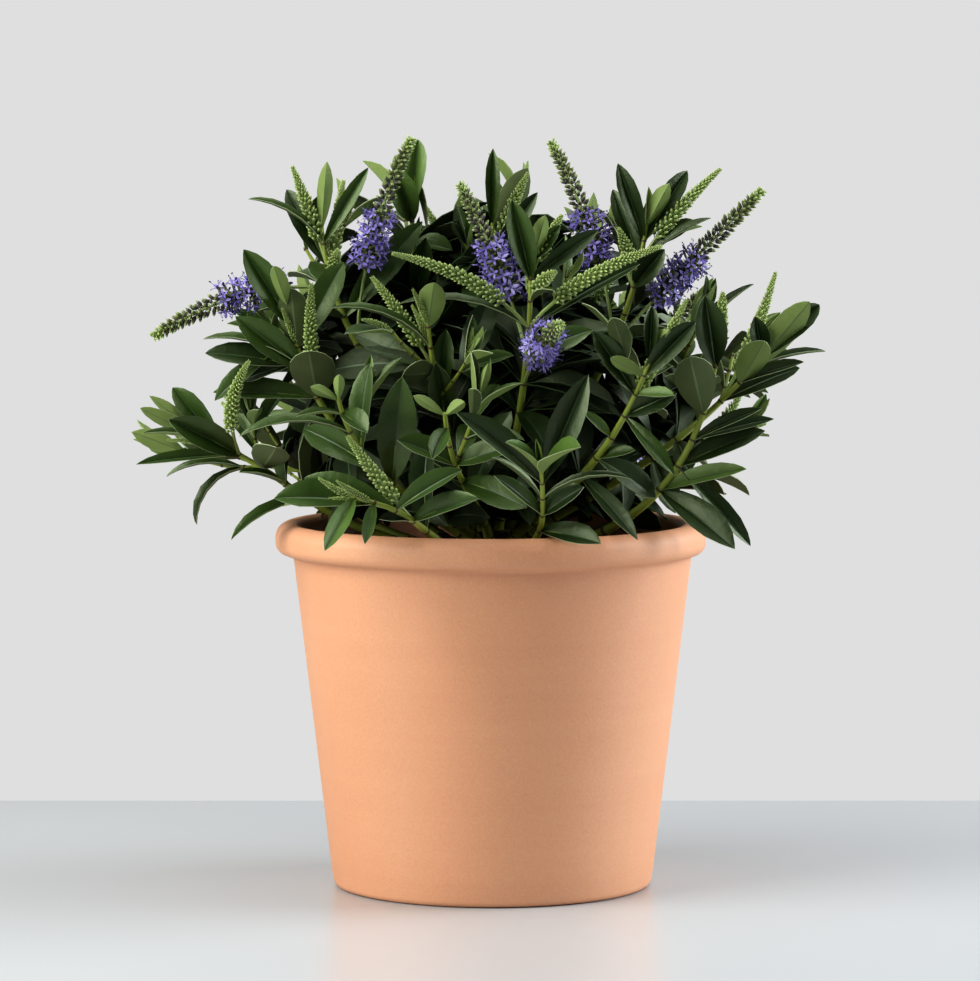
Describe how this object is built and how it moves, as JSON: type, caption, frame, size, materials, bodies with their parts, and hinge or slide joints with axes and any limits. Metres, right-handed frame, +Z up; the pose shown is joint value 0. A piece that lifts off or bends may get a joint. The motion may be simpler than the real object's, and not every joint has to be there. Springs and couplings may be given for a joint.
{
  "type": "potted hebe shrub",
  "caption": "Flowering hebe shrub with glossy dark leaves in crossed pairs, violet flower spikes and green bud spikes, planted in a rolled-rim terracotta pot.",
  "frame": {"origin": "centre of the pot's flat underside", "axes": "+Z up, front towards -Y, +X to the right as seen from the front"},
  "size_m": [0.3887, 0.367, 0.421],
  "materials": {
    "terracotta": "matt unglazed terracotta",
    "compost": "damp crumbly potting compost",
    "stems": "satin green bark, brown and rough at the base",
    "foliage": "glossy leaves, paler beneath"
  },
  "bodies": {
    "root": {"bough_back_low_1": "stems", "bough_back_low_2": "stems", "bough_back_low_3": "stems", "bough_back_low_4": "stems", "bough_back_low_5": "stems", "bough_back_mid_1": "stems", "bough_back_mid_2": "stems", "bough_back_mid_3": "stems", "bough_back_mid_4": "stems", "bough_back_top_1": "stems", "bough_back_top_2": "stems", "bough_centre": "stems", "bough_centre_front": "stems", "bough_centre_low": "stems", "bough_far_left": "stems", "bough_left_front": "stems", "bough_left_low": "stems", "bough_left_mid": "stems", "bough_left_top": "stems", "bough_mid_right": "stems", "bough_right_front": "stems", "bough_right_outer": "stems", "bough_right_top": "stems", "bough_top_centre": "stems", "bough_top_left": "stems", "bough_top_right": "stems", "bough_upper_left": "stems", "compost": "compost", "foliage_back_low_1": "foliage", "foliage_back_low_2": "foliage", "foliage_back_low_3": "foliage", "foliage_back_low_4": "foliage", "foliage_back_low_5": "foliage", "foliage_back_mid_1": "foliage", "foliage_back_mid_2": "foliage", "foliage_back_mid_3": "foliage", "foliage_back_mid_4": "foliage", "foliage_back_top_1": "foliage", "foliage_back_top_2": "foliage", "foliage_centre": "foliage", "foliage_centre_front": "foliage", "foliage_centre_low": "foliage", "foliage_far_left": "foliage", "foliage_left_front": "foliage", "foliage_left_low": "foliage", "foliage_left_mid": "foliage", "foliage_left_top": "foliage", "foliage_mid_right": "foliage", "foliage_right_front": "foliage", "foliage_right_outer": "foliage", "foliage_right_top": "foliage", "foliage_top_centre": "foliage", "foliage_top_left": "foliage", "foliage_top_right": "foliage", "foliage_upper_left": "foliage", "pot": "terracotta", "trunk": "stems"}
  },
  "joints": []
}
